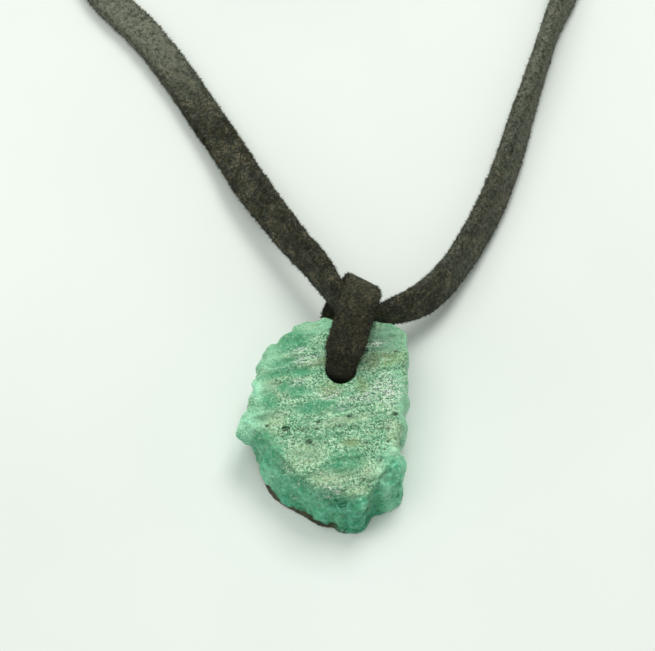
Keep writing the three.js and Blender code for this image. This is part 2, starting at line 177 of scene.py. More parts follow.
HOLE_DIAMETER = 3.1
HOLE_CLOSING = 0.17  # grains along its wall close it in by this much
HOLE_RIM = (0.05, 0.6)  # distances from its wall between which the stone's face takes over

# The stone's mesh, and how far up a surface faces where one zone of it gives way to the next
MERGE_DISTANCE = 0.001
VOXEL_SIZE = 0.11
EVENING_ROUNDS = 7
BACK_FACING = (-0.4, -0.8)
FACE_FACING = (0.5, 0.85)
PATCH_FACING = (0.15, 0.5)
GLASSY_FACING = (0.0, 0.5)
LOWER_RANGE = (-1, -5)  # the lower half starts here, along a line that slants down to the right
LOWER_SLANT = 0.4
CALM_RANGE = (2, 6)  # towards the right the upper side is calmer
CALM_SHARE = 0.6
GRAIN_ON_SIDES = 0.35
TIP = (-7.8, -3.2)  # the sharp tip at the left, and how far round it the stone stays crisp
TIP_SPREAD = (0.9, 2.2)
TIP_ROUGHNESS = 0.2
TIP_DRAW = (-0.1, -0.4)  # it is drawn out to a point by this much
TIP_REACH = 1.2

# The stone's roughness: first its layers, then coarse to fine.
# Each has a name, a kind of noise, a zone, a size, a height and the level of the noise that stays in place
LAYER_ANGLE = math.radians(11)
LAYER_SCALE = (3.4, 0.55, 1.2)
LAYER_HEIGHT = 0.4
ROUGHENING = [
    ("lobes", "VORONOI", "lower_side", 2.7, -0.75, 0.22),
    ("lumps", "VORONOI", "lower_side", 1.3, -0.14, 0.3),
    ("crumbs", "CLOUDS", "lower_side", 0.45, 0.34, 0.5),
    ("scallops", "VORONOI", "upper_side", 1.3, -0.6, 0.5),
    ("chips", "CLOUDS", "upper_side", 0.9, 0.3, 0.5),
    ("grains", "CLOUDS", "grainy", 0.4, 0.16, 0.5),
    ("grit", "CLOUDS", "grainy", 0.22, 0.14, 0.5),
]
HOLLOW_REACH = 40  # rounds of evening out that tell a crevice from a ridge
HOLLOW_DEPTH = 0.12

# Patches of the stone's face: place, half-width along the layers and half-width across them
RICH_GREEN = [
    (-2.7, 5.1, 1.6, 1.00), (-4.8, -0.9, 0.70, 0.80), (-0.4, -1.5, 2.00, 0.60), (1.6, -1.7, 0.90, 0.40),
    (-4.7, -5.9, 1.28, 1.00), (-2.9, -8.9, 1.46, 1.00), (-5.4, -4.4, 1.09, 0.80), (2.0, -6.8, 1.64, 0.90),
    (0.2, -10.3, 2.00, 0.90), (5.1, -9.6, 0.73, 1.00), (2.9, -11.0, 1.46, 0.80), (6.5, -7.8, 0.82, 1.59),
    (-2.1, 1.9, 0.91, 0.50), (-2.8, 0.5, 1.28, 0.50), (-4.2, 1.8, 1.1, 0.35), (-3.4, 3.0, 1.2, 0.35),
    (-2.2, -0.1, 0.90, 0.45),
]
OLIVE = [
    (5.7, 3.3, 1.82, 0.80), (-0.2, 2.9, 1.64, 0.30), (0.7, 0.2, 1.09, 0.80), (3.6, 0.6, 0.55, 0.80),
    (2.6, -4.9, 0.73, 0.40),
]
CREAM = [
    (2.0, -2.8, 2.73, 0.40), (-1.6, -6.1, 1.82, 1.20), (4.7, -7.6, 1.64, 0.80), (2.4, -9.5, 1.46, 0.60),
    (0.7, -8.3, 2.73, 0.80), (6.5, -4.2, 0.73, 1.99), (-4.8, 0.6, 0.91, 0.60), (-1.2, 6.6, 1.09, 0.40),
    (-4.6, -2.8, 1.37, 0.80),
]
# Zones of coarser grain, where painted white glints lie
SPARKLE = [
    (5.9, 0.2, 1.64, 1.40), (2.0, -1.3, 0.91, 0.50), (0.7, -0.3, 1.09, 0.60), (-1.3, 3.1, 1.64, 0.50),
    (-2.1, 4.1, 0.91, 0.30), (0.7, -9.5, 1.28, 0.60), (5.1, 4.8, 0.73, 0.40), (3.8, -0.5, 1.09, 0.60),
    (-2.4, -8.6, 0.55, 0.30), (-2.1, 0.9, 0.91, 0.40),
]
SPECKLED = [(-2.2, -4.4, 3.6, 1.5), (3.2, -5.2, 2.8, 1.0), (1.0, -7.6, 2.6, 0.9)]
SMOOTH = [
    (-5.0, 3.5, 1.6, 1.5), (6.2, 5.5, 1.7, 1.4), (-0.6, 6.6, 2.2, 0.8), (-5.9, 0.8, 1.1, 1.6),
    (7.5, -1.5, 0.7, 3.4), (-6.4, -2.6, 1.5, 1.3), (-4.9, -6.0, 1.4, 1.4), (6.6, -6.6, 1.2, 1.6),
    # The last patch, on the lower right lobe, is also made large so that it paints that lobe paler than its
    # shading leaves it
    (6.5, -8.3, 1.7, 1.9),
]
# Painted shadow of the bail, on the stone's face to the right of it
BAIL_SHADOW_PATCHES = [(5.4, 5.3, 1.8, 1.6), (4.2, 3.2, 0.9, 1.3)]
# Painted light: lobes and edges, the lower right lobe most, made paler than their shading leaves them
PAINTED_LIGHT_LOBES = [
    (6.6, -8.0, 1.7, 2.4), (-7.0, -3.0, 1.2, 1.2), (-5.2, -6.6, 0.8, 1.2), (-6.0, 0.2, 0.5, 1.1),
]
# What the material calls them, how soft their edges are, and whether they lie only on what faces up
PATCHES = [
    ("rich", RICH_GREEN, 0.6, False),
    ("olive", OLIVE, 0.6, True),
    ("cream", CREAM, 0.6, True),
    ("sparkle", SPARKLE, 0.5, True),
    ("speckled", SPECKLED, 0.5, True),
    ("smooth", SMOOTH, 0.5, False),
    ("painted_bail_shadow", BAIL_SHADOW_PATCHES, 0.7, True),
    ("pale", PAINTED_LIGHT_LOBES, 0.7, False),
]
# Pits in the face, with painted shade in them
PITS = [
    (-3.35, -3.7, 0.30, 0.10), (-1.2, -4.85, 0.26, 0.12), (-0.4, -2.95, 0.17, 0.11),
    (-0.55, -3.6, 0.15, 0.11), (-0.85, -5.15, 0.13, 0.11), (-1.7, -3.65, 0.14, 0.1),
    (1.55, -3.35, 0.15, 0.12), (6.55, -2.1, 0.24, 0.12), (2.4, -2.4, 0.18, 0.11),
    (3.95, -4.9, 0.18, 0.12), (5.9, -4.75, 0.15, 0.12), (5.55, -5.55, 0.12, 0.11),
    (5.2, -6.6, 0.14, 0.12), (6.7, 4.1, 0.20, 0.12), (4.45, -2.1, 0.12, 0.1),
    (5.9, -3.45, 0.12, 0.1), (-5.0, -3.3, 0.14, 0.12), (0.2, -4.95, 0.12, 0.1), (-4.2, 1.1, 0.13, 0.11),
]
PIT_EDGE = 0.35
PIT_FLOOR = 4.0  # the pits lie above this height
# Where the grainy face ends and the smooth broken lower edge starts, from left to right
GRAINY_EDGE = [
    (-8.5, -3.2), (-7.4, -3.9), (-5.4, -5.1), (-4.3, -6.4), (-2.7, -8.0), (-1.0, -9.0),
    (1.2, -9.8), (2.8, -10.1), (4.2, -9.6), (5.6, -7.5), (6.8, -6.0), (8.5, -4.5),
]
GRAINY_EDGE_SPREAD = 0.5
# The brown rind at the stone's foot: how high it comes, how much higher at the left, and where it ends
RIND_HEIGHT = 0.42
RIND_RISE = 0.4
RIND_RISE_RANGE = (-4.2, -6.0)
RIND_FADE = 0.25
RIND_END_RANGE = (2.5, 0.5)


def set_camera():
    """The camera, which looks down on the table."""
    back = Vector((0, -math.cos(CAMERA_ELEVATION), math.sin(CAMERA_ELEVATION)))
    bpy.ops.object.camera_add(
        location=CAMERA_AIM + back * CAMERA_DISTANCE,
        rotation=(QUARTER_TURN - CAMERA_ELEVATION, 0, 0),
    )
    camera = bpy.context.object
    camera.data.lens = CAMERA_LENS
    camera.data.sensor_width = CAMERA_SENSOR
    camera.data.sensor_fit = "HORIZONTAL"
    camera.data.clip_start = CAMERA_CLIP
    scene.camera = camera


def lay_table():
    """The pale table that the pendant lies on."""
    bpy.ops.mesh.primitive_plane_add(size=TABLE_SIZE, location=(0, 0, -TABLE_DROP))
    floor = bpy.context.object
    floor.name = "pale_table"
    floor.data.materials.append(table_paint())


def light_table():
    """Soft light from a wide sky and two large panels."""
    world = bpy.data.worlds.new("soft_sky")
    world.use_nodes = True
    sky = world.node_tree.nodes["Background"]
    sky.inputs["Color"].default_value = SKY_COLOUR
    sky.inputs["Strength"].default_value = SKY_STRENGTH
    scene.world = world
    scene.view_settings.view_transform = "Standard"
    for name, place, size, power in PANELS:
        bpy.ops.object.light_add(type="AREA", location=place)
        panel = bpy.context.object
        panel.name = name
        panel.data.size = size
        panel.data.energy = power
        panel.data.color = PANEL_COLOUR
        aim = PANEL_AIM - panel.location
        panel.rotation_euler = aim.to_track_quat("-Z", "Y").to_euler()


class Nodes:
    """Adds shader nodes to a material or a node group and joins them up."""

    def __init__(self, tree):
        self.tree = tree

    def put(self, value, socket):
        """Joins another node's output to a socket, or sets the socket to a plain value."""
        if isinstance(value, bpy.types.NodeSocket):
            self.tree.links.new(value, socket)
        else:
            socket.default_value = value

    def add(self, kind, inputs=None, **settings):
        node = self.tree.nodes.new(kind)
        for name, value in settings.items():
            setattr(node, name, value)
        for name, value in (inputs or {}).items():
            self.put(value, node.inputs[name])
        return node

    def object_place(self):
        return self.add("ShaderNodeTexCoord").outputs["Object"]

    def attribute(self, name):
        return self.add("ShaderNodeAttribute", attribute_name=name).outputs["Fac"]

    def noise(self, place, size, detail=2.0, roughness=0.5):
        """Soft noise whose features are about this size in millimetres."""
        inputs = {"Vector": place, "Scale": 1 / (size * MM), "Detail": detail, "Roughness": roughness}
        return self.add("ShaderNodeTexNoise", inputs).outputs["Fac"]

    def cells(self, place, size):
        """A chance value for each crystal grain of about this size in millimetres."""
        node = self.add("ShaderNodeTexVoronoi", {"Vector": place, "Scale": 1 / (size * MM)})
        return self.add("ShaderNodeSeparateColor", {"Color": node.outputs["Color"]}).outputs["Red"]

    def specks(self, group, place, size, level, softness):
        """A mask of scattered specks of about this size in millimetres."""
        inputs = {"Vector": place, "Scale": 1 / (size * MM), "Level": level, "Softness": softness}
        return self.add("ShaderNodeGroup", inputs, node_tree=group).outputs["Mask"]

    def math(self, operation, first, second=0.0):
        node = self.add("ShaderNodeMath", operation=operation)
        self.put(first, node.inputs[0])
        self.put(second, node.inputs[1])
        return node.outputs[0]

    def plus(self, first, second):
        return self.math("ADD", first, second)

    def minus(self, first, second):
        return self.math("SUBTRACT", first, second)

    def times(self, first, second):
        return self.math("MULTIPLY", first, second)

    def about(self, value, spread):
        """A value from 0 to 1 made to lie about 0, with this spread."""
        return self.times(self.minus(value, 0.5), spread)

    def between(self, value, low, high):
        """0 at low, 1 at high, smooth between them and level outside them."""
        inputs = {"Value": value, "From Min": low, "From Max": high}
        return self.add("ShaderNodeMapRange", inputs, interpolation_type="SMOOTHSTEP").outputs["Result"]

    def ramp(self, value, stops):
        node = self.add("ShaderNodeValToRGB", {"Fac": value})
        line = node.color_ramp.elements
        while len(line) < len(stops):
            line.new(0.5)
        for element, (place, colour) in zip(line, stops):
            element.position = place
            element.color = (*colour, 1)
        return node.outputs["Color"]

    def mix(self, share, first, second, blend="MIX"):
        """Two colours mixed. Of the node's many sockets, these are the ones for colours."""
        node = self.add("ShaderNodeMix", data_type="RGBA", blend_type=blend)
        self.put(share, node.inputs[0])
        self.put(first, node.inputs[6])
        self.put((*second, 1) if isinstance(second, tuple) else second, node.inputs[7])
        return node.outputs[2]

    def over(self, colour, other, mask, strength):
        """Another colour laid over a colour where a mask is, at a strength."""
        return self.mix(self.times(mask, strength), colour, other)

    def shade(self, colour, by, share=1.0):
        """A colour made darker or paler, or turned in hue, by another."""
        return self.mix(share, colour, by, "MULTIPLY")

    def bump(self, height, strength, distance):
        inputs = {"Height": height, "Strength": strength, "Distance": distance * MM}
        return self.add("ShaderNodeBump", inputs).outputs["Normal"]


def srgb(red, green, blue):
    """A colour given as it shows on a screen, from 0 to 255."""
    shares = (red / 255, green / 255, blue / 255)
    return tuple(((v + 0.055) / 1.055) ** 2.4 if v > 0.04 else v / 12.92 for v in shares)


def specks_group():
    """Scattered specks: noise of a given scale, cut off at a level, as a mask."""
    tree = bpy.data.node_groups.new("Specks", "ShaderNodeTree")
    tree.interface.new_socket("Mask", in_out="OUTPUT", socket_type="NodeSocketFloat")
    for name, kind in (("Vector", "Vector"), ("Scale", "Float"), ("Level", "Float"), ("Softness", "Float")):
        tree.interface.new_socket(name, in_out="INPUT", socket_type="NodeSocket" + kind)
    n = Nodes(tree)
    given = n.add("NodeGroupInput").outputs
    inputs = {"Vector": given["Vector"], "Scale": given["Scale"], "Detail": 3.0, "Roughness": 0.6}
    texture = n.add("ShaderNodeTexNoise", inputs)
    top = n.plus(given["Level"], given["Softness"])
    mask = n.between(texture.outputs["Fac"], given["Level"], top)
    n.put(mask, n.add("NodeGroupOutput").inputs["Mask"])
    return tree


def new_material(name, **finish):
    """A material, its nodes and its shader, with the shader's plain values set."""
    material = bpy.data.materials.new(name)
    material.use_nodes = True
    shader = material.node_tree.nodes["Principled BSDF"]
    for socket, value in finish.items():
        shader.inputs[socket.replace("_", " ")].default_value = value
    return material, Nodes(material.node_tree), shader


def table_paint():
    """A pale, slightly uneven table top."""
    material, n, shader = new_material("pale_table", Roughness=0.8, Specular_IOR_Level=0.2)
    uneven = n.noise(n.object_place(), 40, 3)
    paint = n.ramp(uneven, [(0.3, srgb(240, 243, 240)), (0.7, srgb(246, 248, 246))])
    n.put(paint, shader.inputs["Base Color"])
    return material


def suede(specks):
    """Dark brown suede: mottled, with a fine nap that catches the light, painted sheen up the lace's arms
    and painted shade on the bail.
    """
    material, n, shader = new_material(
        "dark_suede", Roughness=0.95, Specular_IOR_Level=0.15,
        Sheen_Weight=0.1, Sheen_Roughness=0.6, Sheen_Tint=(0.8, 0.75, 0.62, 1),
    )
    place = n.object_place()
    mottle = n.noise(place, 1.3, 5, 0.7)
    fine = n.noise(place, 0.34, 5, 0.8)
    finest = n.noise(place, 0.11, 3, 0.8)
    hue = n.ramp(n.noise(place, 0.8, 2), [(0.4, (0.94, 1.0, 1.06)), (0.6, (1.08, 1.0, 0.9))])
    nap = n.ramp(fine, [(0.36, (0.3, 0.31, 0.32)), (0.5, (1.0, 1.0, 1.0)), (0.64, (2.2, 2.05, 1.85))])
    fuzz = n.ramp(finest, [(0.36, (0.2, 0.21, 0.22)), (0.5, (0.9, 0.9, 0.9)), (0.64, (2.9, 2.75, 2.6))])
    strand = n.ramp(
        n.attribute("strand"),
        [(0.0, (1.0, 1.0, 1.0)), (0.01, (0.4, 0.4, 0.4)), (1.0, (1.8, 1.75, 1.65))],
    )

    colour = n.ramp(mottle, [(0.37, srgb(37, 39, 32)), (0.50, srgb(56, 58, 49)), (0.63, srgb(80, 78, 66))])
    colour = n.shade(colour, hue)
    colour = n.over(colour, srgb(54, 53, 39), n.attribute("worn"), 0.45)
    colour = n.shade(colour, nap)
    colour = n.shade(colour, fuzz)
    colour = n.over(colour, srgb(112, 104, 84), n.specks(specks, place, 0.16, 0.63, 0.06), 0.4)
    colour = n.shade(colour, strand)
    # Painted sheen up the lace's arms, broken up by the nap's fine noise
    colour = n.over(colour, srgb(150, 154, 138), n.attribute("painted_sheen"), n.between(fine, 0.3, 0.6))
    # Painted shade on the bail, towards the hole and low down behind the stone
    colour = n.shade(colour, (0.5, 0.5, 0.48), n.attribute("painted_shade"))
    n.put(colour, shader.inputs["Base Color"])
    n.put(n.bump(n.plus(fine, n.times(mottle, 0.6)), 0.9, 0.2), shader.inputs["Normal"])
    return material


def sugary_grain(n, place, layered):
    """How pale each grain of the stone is: coarse where it sparkles, calm where it is smooth or rich."""
    coarse = n.plus(n.times(n.attribute("sparkle"), 0.5), n.times(n.attribute("cream"), 0.25))
    calm = n.math("MAXIMUM", n.times(n.attribute("rich"), 0.4), n.times(n.attribute("smooth"), 0.55))
    sugary = n.minus(n.plus(coarse, 1.0), calm)
    sugary = n.times(sugary, n.minus(1.0, n.times(n.attribute("glassy"), 0.3)))
    crystals = n.about(n.cells(place, 0.12), 0.62)
    clusters = n.about(n.noise(layered, 0.3, 3, 0.7), 0.34)
    grain = n.about(n.noise(place, 0.07, 2, 0.7), 1.2)
    grain = n.plus(n.plus(grain, crystals), clusters)
    return n.plus(n.times(grain, sugary), 0.51)


def layered_green(n, place, layered, grain):
    """The stone's grains in pale green, clouded, with paler and richer layers."""
    colour = n.ramp(grain, [
        (0.20, srgb(40, 96, 68)), (0.38, srgb(91, 157, 115)), (0.52, srgb(130, 196, 150)),
        (0.66, srgb(172, 219, 180)), (0.86, srgb(218, 242, 212)),
    ])
    clouds = n.ramp(n.noise(place, 1.7, 3, 0.6), [(0.35, (0.84, 0.88, 0.86)), (0.65, (1.14, 1.1, 1.12))])
    colour = n.shade(colour, clouds)
    layers = n.noise(layered, 0.8, 4, 0.65)
    colour = n.over(colour, srgb(160, 182, 142), n.between(layers, 0.52, 0.7), 0.35)
    return n.over(colour, srgb(76, 154, 116), n.between(layers, 0.5, 0.34), 0.5)


def patched_green(n, place, grain, colour):
    """The stone's patches, its glassy teal lower edge, painted shade in its crevices and painted highlights
    on its ridges. Among the patches are the bail's painted shadow and painted light on lobes that face away
    from the lamps.
    """
    ragged = n.between(n.noise(place, 0.34, 4, 0.75), 0.28, 0.62)
    patch_colours = [
        ("cream", srgb(182, 204, 164), 0.55),
        ("olive", srgb(128, 150, 88), 0.8),
        ("smooth", srgb(156, 216, 182), 0.6),
        ("rich", srgb(54, 154, 110), 0.95),
    ]
    for patch, tone, strength in patch_colours:
        colour = n.over(colour, tone, n.times(n.attribute(patch), ragged), strength)
    # Painted shadow of the bail on the stone's face
    colour = n.shade(colour, (0.64, 0.62, 0.62), n.attribute("painted_bail_shadow"))

    glassy = n.attribute("glassy")
    depth = n.plus(n.noise(place, 1.1, 3, 0.6), n.about(grain, 0.55))
    teal = n.ramp(depth, [
        (0.34, srgb(46, 153, 115)), (0.52, srgb(73, 185, 143)), (0.70, srgb(117, 216, 179)),
    ])
    colour = n.over(colour, teal, glassy, n.minus(0.72, n.times(n.attribute("smooth"), 0.5)))
    # Painted light on lobes that face away from the lamps
    colour = n.shade(colour, (1.4, 1.34, 1.44), n.attribute("pale"))

    # Painted shade in crevices and painted light on ridges, by how deep each point lies; painted highlights
    # on the thin ridges of the glassy lumps
    hollow = n.attribute("hollow")
    painted_relief_shading = n.ramp(hollow, [(0.0, (1.16, 1.14, 1.13)), (0.5, (1.0, 1.0, 1.0)), (1.0, (0.66, 0.72, 0.68))])
    colour = n.shade(colour, painted_relief_shading)
    painted_ridge_highlights = n.times(n.between(hollow, 0.16, 0.0), glassy)
    return n.over(colour, srgb(200, 238, 218), painted_ridge_highlights, 0.3)


def emerald_rough(specks):
    """Cloudy raw emerald: sugary grains, pale and rich layers, painted white glints, painted shade in its
    pits and crevices, painted light on its ridges, a brown rind.
    """
    material, n, shader = new_material(
        "raw_emerald", IOR=1.57, Subsurface_Weight=0.2,
        Subsurface_Radius=(0.5, 1.0, 0.7), Subsurface_Scale=0.4 * MM,
    )
    place = n.object_place()
    turned = {"Vector": place, "Rotation": (0, 0, -LAYER_ANGLE), "Scale": (0.28, 1.0, 0.6)}
    layered = n.add("ShaderNodeMapping", turned).outputs["Vector"]
    grain = sugary_grain(n, place, layered)
    colour = layered_green(n, place, layered, grain)
    colour = patched_green(n, place, grain, colour)

    glassy = n.attribute("glassy")
    dark_level = n.minus(0.69, n.times(n.attribute("speckled"), 0.09))
    dark = n.times(n.specks(specks, place, 0.16, dark_level, 0.05), n.minus(1.0, glassy))
    colour = n.over(colour, srgb(54, 76, 50), dark, 0.65)

    sparkle = n.attribute("sparkle")
    colour = n.shade(colour, (0.72, 0.82, 0.74), n.times(sparkle, 0.6))
    # Painted glints: white specks and thin threads where light glances off the grains, mostly in the sparkle
    # zones; the stone is also less rough there
    glints = n.specks(specks, place, 0.13, n.minus(0.72, n.times(sparkle, 0.14)), 0.02)
    squiggle = n.math("ABSOLUTE", n.minus(n.noise(layered, 0.55, 3, 0.6), 0.5))
    painted_glint_threads = n.times(n.between(squiggle, 0.018, 0.006), n.times(sparkle, 0.8))
    painted_glints = n.math("MAXIMUM", glints, painted_glint_threads)
    colour = n.over(colour, srgb(250, 254, 248), painted_glints, 0.95)
    # Painted shade in the pits
    colour = n.over(colour, srgb(36, 50, 36), n.attribute("painted_pit_shade"), 0.85)
    colour = n.mix(n.attribute("rind"), colour, srgb(86, 82, 58))
    n.put(colour, shader.inputs["Base Color"])

    rough = n.minus(n.minus(0.42, n.times(glassy, 0.14)), n.times(painted_glints, 0.2))
    n.put(rough, shader.inputs["Roughness"])
    n.put(n.bump(n.noise(place, 0.15, 3, 0.65), 0.8, 0.12), shader.inputs["Normal"])
    return material


def only(piece):
    """Selects one piece and nothing else."""
    bpy.ops.object.select_all(action="DESELECT")
    piece.select_set(True)
    bpy.context.view_layer.objects.active = piece


def apply_modifier(piece, kind, **settings):
    """Adds a modifier with these settings to a piece and applies it."""
    modifier = piece.modifiers.new(kind.lower(), kind)
    for name, value in settings.items():
        setattr(modifier, name, value)
    only(piece)
    bpy.ops.object.modifier_apply(modifier=modifier.name)


def smooth_step(low, high, value):
    """0 at low, 1 at high, smooth between them and level outside them."""
    t = np.clip((value - low) / (high - low), 0, 1)
    return t * t * (3 - 2 * t)


def places(piece):
    """The vertices' places in millimetres and their normals."""
    count = len(piece.data.vertices)
    co = np.empty(count * 3)
    piece.data.vertices.foreach_get("co", co)
    normal = np.empty(count * 3)
    piece.data.vertices.foreach_get("normal", normal)
    return co.reshape(-1, 3) / MM, normal.reshape(-1, 3)


def weigh(piece, name, weights):
    """A vertex group of this name, with its weights rounded to tenths."""
    group = piece.vertex_groups.new(name=name)
    for level in range(1, 11):
        chosen = np.where(np.round(weights * 10) == level)[0]
        group.add(chosen.tolist(), level / 10, "REPLACE")


def paint(piece, name, values):
    """An attribute of this name, with a value at each vertex."""
    layer = piece.data.attributes.new(name, "FLOAT", "POINT")
    layer.data.foreach_set("value", np.ascontiguousarray(values, dtype=np.float32))


def patches(co, places_on_face, edge):
    """How much each vertex lies in one of the patches, from 0 to 1."""
    share = np.zeros(len(co))
    for x, y, along, across in places_on_face:
        dx, dy = co[:, 0] - x, co[:, 1] - y
        u = (dx * math.cos(LAYER_ANGLE) + dy * math.sin(LAYER_ANGLE)) / along
        v = (dy * math.cos(LAYER_ANGLE) - dx * math.sin(LAYER_ANGLE)) / across
        share = np.maximum(share, 1 - smooth_step(1 - edge, 1 + edge, np.hypot(u, v)))
    return share


def hollows(piece, co, normal):
    """How far each vertex lies in a crevice: 0 on a ridge, 0.5 on the flat and 1 deep between lumps."""
    ends = np.empty(len(piece.data.edges) * 2, dtype=np.int64)
    piece.data.edges.foreach_get("vertices", ends)
    a, b = ends.reshape(-1, 2).T
    count = len(co)
    neighbours = np.bincount(a, minlength=count) + np.bincount(b, minlength=count)
    even = co.copy()
    for _ in range(HOLLOW_REACH):
        around = [np.bincount(a, even[b, k], count) + np.bincount(b, even[a, k], count) for k in range(3)]
        even = (even + np.stack(around, axis=1) / neighbours[:, None]) / 2
    depth = np.sum((even - co) * normal, axis=1)
    return 0.5 + 0.5 * np.clip(depth / HOLLOW_DEPTH, -1, 1)


def past_grain(co):
    """How far each vertex is past the grainy face, on the smooth broken lower edge, from 0 to 1."""
    edge_x, edge_y = np.array(GRAINY_EDGE).T
    above_edge = co[:, 1] - np.interp(co[:, 0], edge_x, edge_y)
    return smooth_step(GRAINY_EDGE_SPREAD, -GRAINY_EDGE_SPREAD, above_edge)


def from_tip(co):
    """Each vertex's distance from the stone's tip, seen from above."""
    return np.hypot(co[:, 0] - TIP[0], co[:, 1] - TIP[1])


def stone_blank(material):
    """A copy of the stone's solid as one even mesh, its edges blunted except at the tip."""
    stone = bpy.data.objects.new("raw_emerald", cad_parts["emerald"].data.copy())
    scene.collection.objects.link(stone)
    stone.data.materials.clear()
    stone.data.materials.append(material)
    only(stone)
    bpy.ops.object.mode_set(mode="EDIT")
    bpy.ops.mesh.select_all(action="SELECT")
    bpy.ops.mesh.remove_doubles(threshold=MERGE_DISTANCE * MM)
    bpy.ops.object.mode_set(mode="OBJECT")
    apply_modifier(stone, "REMESH", mode="VOXEL", voxel_size=VOXEL_SIZE * MM)
    co, _ = places(stone)
    blunt = smooth_step(*TIP_SPREAD, from_tip(co))
    weigh(stone, "blunt", blunt)
    apply_modifier(stone, "SMOOTH", factor=0.5, iterations=EVENING_ROUNDS, vertex_group="blunt")
    return stone, blunt


def mark_zones(stone, blunt):
    """Where each kind of roughness goes. The back and the hole stay plain, and the tip nearly so."""
    co, normal = places(stone)
    back = smooth_step(*BACK_FACING, normal[:, 2])
    face = smooth_step(*FACE_FACING, normal[:, 2])
    from_wall = np.hypot(co[:, 0] - HOLE[0], co[:, 1] - HOLE[1]) - HOLE_DIAMETER / 2
    near_hole = 1 - smooth_step(*HOLE_RIM, from_wall)
    free = (1 - back) * (1 - near_hole) * (TIP_ROUGHNESS + (1 - TIP_ROUGHNESS) * blunt)
    lower = smooth_step(*LOWER_RANGE, co[:, 1] + LOWER_SLANT * co[:, 0])
    calm = 1 - CALM_SHARE * smooth_step(*CALM_RANGE, co[:, 0])
    weigh(stone, "face", face * free)
    weigh(stone, "lower_side", np.maximum(1 - face, past_grain(co)) * free * lower)
    weigh(stone, "upper_side", (1 - face) * free * (1 - lower) * calm)
    weigh(stone, "grainy", (GRAIN_ON_SIDES + (1 - GRAIN_ON_SIDES) * face) * free)


def displace(piece, name, kind, where, scale, height, level, **space):
    """Roughens a zone of a piece with noise of a kind, a scale and a height."""
    texture = bpy.data.textures.new(name, kind)
    texture.noise_scale = scale
    settings = {"texture": texture, "strength": height * MM, "mid_level": level, "vertex_group": where}
    apply_modifier(piece, "DISPLACE", **settings, **space)


def roughen(stone):
    """The stone's layers, drawn out along the layers' own direction, and then its other roughness."""
    bpy.ops.object.empty_add(rotation=(0, 0, LAYER_ANGLE))
    layer_frame = bpy.context.object
    layer_frame.scale = [size * MM for size in LAYER_SCALE]
    bpy.context.view_layer.update()
    along_layers = {"texture_coords": "OBJECT", "texture_coords_object": layer_frame}
    displace(stone, "layers", "CLOUDS", "face", 1.0, LAYER_HEIGHT, 0.5, **along_layers)
    bpy.data.objects.remove(layer_frame)
    for name, kind, where, size, height, level in ROUGHENING:
        displace(stone, name, kind, where, size * MM, height, level)
    stone.vertex_groups.clear()


def trim_hole_and_tip(stone):
    """Closes the hole in a little, draws the tip out to a point and keeps the stone above the table."""
    co, _ = places(stone)
    from_middle = co[:, :2] - HOLE
    radius = np.hypot(*from_middle.T)
    rim_near, rim_far = HOLE_RIM
    closing = HOLE_CLOSING * smooth_step(rim_far, rim_near, radius - HOLE_DIAMETER / 2)
    co[:, :2] -= from_middle * (closing / radius)[:, None]
    at_tip = smooth_step(TIP_REACH, 0, from_tip(co))
    co[:, :2] += at_tip[:, None] * TIP_DRAW
    co[:, 2] = np.maximum(co[:, 2], 0)
    stone.data.vertices.foreach_set("co", (co * MM).ravel())
    stone.data.update()


def paint_stone(stone):
    """Where the stone's patches, pits, crevices, glassy edge and rind lie, for its material to read."""
    co, normal = places(stone)
    upper = smooth_step(*PATCH_FACING, normal[:, 2])
    for name, places_on_face, edge, faces_up in PATCHES:
        share = patches(co, places_on_face, edge)
        paint(stone, name, share * upper if faces_up else share)
    paint(stone, "painted_pit_shade", patches(co, PITS, PIT_EDGE) * (co[:, 2] > PIT_FLOOR))
    paint(stone, "hollow", hollows(stone, co, normal))
    paint(stone, "glassy", np.maximum(past_grain(co), 1 - smooth_step(*GLASSY_FACING, normal[:, 2])))
    rind_top = RIND_HEIGHT + RIND_RISE * smooth_step(*RIND_RISE_RANGE, co[:, 0])
    rind = smooth_step(rind_top, rind_top - RIND_FADE, co[:, 2])
    paint(stone, "rind", rind * smooth_step(*RIND_END_RANGE, co[:, 0]))


def raw_emerald(material):
    """The stone: the solid's form, roughened by layers, broken lumps, sugary grains and grit."""
    stone, blunt = stone_blank(material)
    mark_zones(stone, blunt)
    roughen(stone)
    trim_hole_and_tip(stone)
    paint_stone(stone)
    only(stone)
    bpy.ops.object.shade_smooth()
    return stone


def smooth_loop(stops, spacing):
    """A smooth closed line through the stops: evenly spaced rows with their columns, and its length."""
    stops = np.array(stops, float)
    count = len(stops)
    stretches = []
    t = np.linspace(0, 1, STOP_STEPS, endpoint=False)[:, None]
    for i in range(count):
        p0, p1, p2, p3 = (stops[(i + k) % count] for k in (-1, 0, 1, 2))
        d0, d1, d2 = (np.linalg.norm((b - a)[:3]) ** 0.5 for a, b in ((p0, p1), (p1, p2), (p2, p3)))
        out = ((p1 - p0) / d0 - (p2 - p0) / (d0 + d1) + (p2 - p1) / d1) * d1
        into = ((p2 - p1) / d1 - (p3 - p1) / (d1 + d2) + (p3 - p2) / d2) * d1
        stretches.append((2 * t**3 - 3 * t**2 + 1) * p1 + (t**3 - 2 * t**2 + t) * out
                         + (3 * t**2 - 2 * t**3) * p2 + (t**3 - t**2) * into)
    line = np.concatenate(stretches + [stops[:1]])
    run = np.concatenate([[0], np.cumsum(np.linalg.norm(np.diff(line[:, :3], axis=0), axis=1))])
    at = np.linspace(0, run[-1], round(run[-1] / spacing), endpoint=False)
    return np.stack([np.interp(at, run, column) for column in line.T], axis=1), run[-1]


def unit(rows):
    """Each row made one long."""
    return rows / np.linalg.norm(rows, axis=-1, keepdims=True)


